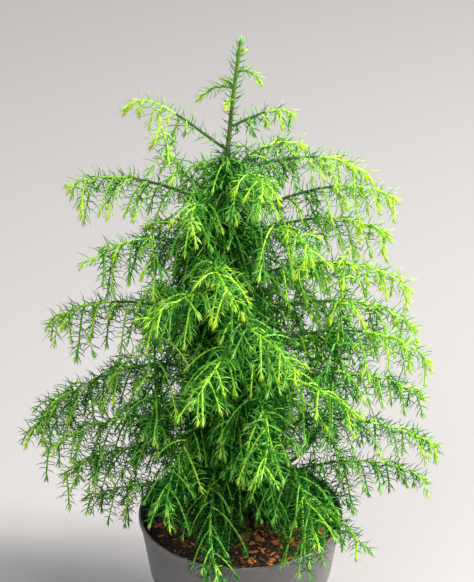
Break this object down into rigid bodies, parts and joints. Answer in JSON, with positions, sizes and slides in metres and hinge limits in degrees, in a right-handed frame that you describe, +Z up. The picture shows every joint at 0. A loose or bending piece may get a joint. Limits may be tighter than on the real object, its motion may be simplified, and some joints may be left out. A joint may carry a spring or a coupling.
{
  "type": "potted japanese cedar",
  "caption": "Young Japanese cedar with soft feathery juvenile needles on arching boughs, in a round flared nursery pot filled with growing medium.",
  "frame": {"origin": "centre of the pot's flat underside", "axes": "+Z up along the trunk, -Y towards the viewer in the picture, +X to the viewer's right"},
  "size_m": [0.3554, 0.2955, 0.5471],
  "materials": {
    "needles": "soft green needles, matte, fresher towards the tips",
    "bark": "reddish-brown young bark, matte",
    "growing_medium": "damp dark peat with bark chips",
    "pot_plastic": "moulded grey plastic with a soft sheen"
  },
  "bodies": {
    "root": {"back_10_foliage": "needles", "back_11_foliage": "needles", "back_12_foliage": "needles", "back_1_foliage": "needles", "back_2_foliage": "needles", "back_3_foliage": "needles", "back_4_foliage": "needles", "back_5_foliage": "needles", "back_6_bough": "bark", "back_6_foliage": "needles", "back_7_foliage": "needles", "back_8_foliage": "needles", "back_9_foliage": "needles", "elbow_right_foliage": "needles", "front_10_foliage": "needles", "front_11_foliage": "needles", "front_12_foliage": "needles", "front_1_foliage": "needles", "front_2_foliage": "needles", "front_3_foliage": "needles", "front_4_foliage": "needles", "front_5_foliage": "needles", "front_6_foliage": "needles", "front_7_foliage": "needles", "front_8_foliage": "needles", "front_9_foliage": "needles", "front_right_skirt_foliage": "needles", "growing_medium": "growing_medium", "high_left_bough": "bark", "high_left_foliage": "needles", "high_right_bough": "bark", "high_right_foliage": "needles", "leading_shoot_foliage": "needles", "left_upright_bough": "bark", "left_upright_foliage": "needles", "low_left_foliage": "needles", "low_right_bough": "bark", "low_right_foliage": "needles", "lowest_left_foliage": "needles", "lowest_right_foliage": "needles", "middle_left_bough": "bark", "middle_left_foliage": "needles", "middle_right_foliage": "needles", "pot": "pot_plastic", "right_upright_bough": "bark", "right_upright_foliage": "needles", "shoulder_left_foliage": "needles", "shoulder_right_foliage": "needles", "skirt_left_foliage": "needles", "skirt_right_foliage": "needles", "top_left_foliage": "needles", "top_left_upright_foliage": "needles", "top_right_foliage": "needles", "trunk": "bark", "upper_right_bough": "bark", "upper_right_foliage": "needles", "waist_left_bough": "bark", "waist_left_foliage": "needles", "waist_right_bough": "bark", "waist_right_foliage": "needles"}
  },
  "joints": []
}
